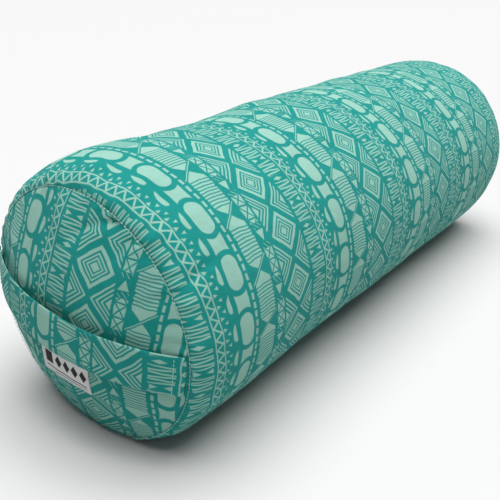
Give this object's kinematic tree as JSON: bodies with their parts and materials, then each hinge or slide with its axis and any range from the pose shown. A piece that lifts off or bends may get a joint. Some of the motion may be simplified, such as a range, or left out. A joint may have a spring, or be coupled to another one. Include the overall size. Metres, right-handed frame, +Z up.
{
  "type": "bolster pillow",
  "caption": "Round bolster pillow: zipped printed cotton cover with a carrying strap across one end, over a stuffed inner case.",
  "frame": {"origin": "middle of the flattened underside that the bolster rests on, halfway between the two end seams", "axes": "+X along the barrel away from the end with the carrying strap, +Z up, +Y towards the back where the zip is"},
  "size_m": [0.7047, 0.2399, 0.2277],
  "materials": {
    "printed_cotton": "matte",
    "thread": "matte",
    "label_cloth": "matte",
    "calico": "matte",
    "fibre": "matte",
    "zip_tape": "matte",
    "zip_teeth": "satin",
    "nickel": "satin"
  },
  "bodies": {
    "root": {"cover_barrel": "printed_cotton", "cover_end_near": "printed_cotton", "cover_end_far": "printed_cotton", "seam_thread_near": "thread", "seam_thread_far": "thread", "label": "label_cloth", "label_stitching": "thread", "liner_barrel": "calico", "liner_end_near": "calico", "liner_end_far": "calico", "filling": "fibre", "zip_tape_upper": "zip_tape", "zip_tape_lower": "zip_tape", "zip_teeth_upper": "zip_teeth", "zip_teeth_lower": "zip_teeth", "zip_stitching_upper": "thread", "zip_stitching_lower": "thread", "zip_top_stop_upper": "nickel", "zip_top_stop_lower": "nickel", "zip_bottom_stop": "nickel"},
    "handle": {"handle_strap": "printed_cotton", "handle_tack_front": "thread", "handle_tack_back": "thread"},
    "slider": {"zip_slider": "nickel"},
    "pull": {"zip_pull": "nickel"}
  },
  "joints": [
    {"name": "handle_lift", "type": "slide", "parent": "root", "child": "handle", "axis": [-1, 0, 0], "range_m": [0, 0.022], "stiffness_N_per_m": 60},
    {"name": "zip_travel", "type": "slide", "parent": "root", "child": "slider", "axis": [1, 0, 0], "range_m": [0, 0.381]},
    {"name": "pull_swing", "type": "hinge", "parent": "slider", "child": "pull", "pos_m": [-0.1907, 0.11271, 0.15469], "axis": [0, 0.3827, -0.9239], "range_deg": [-170, 0]}
  ]
}
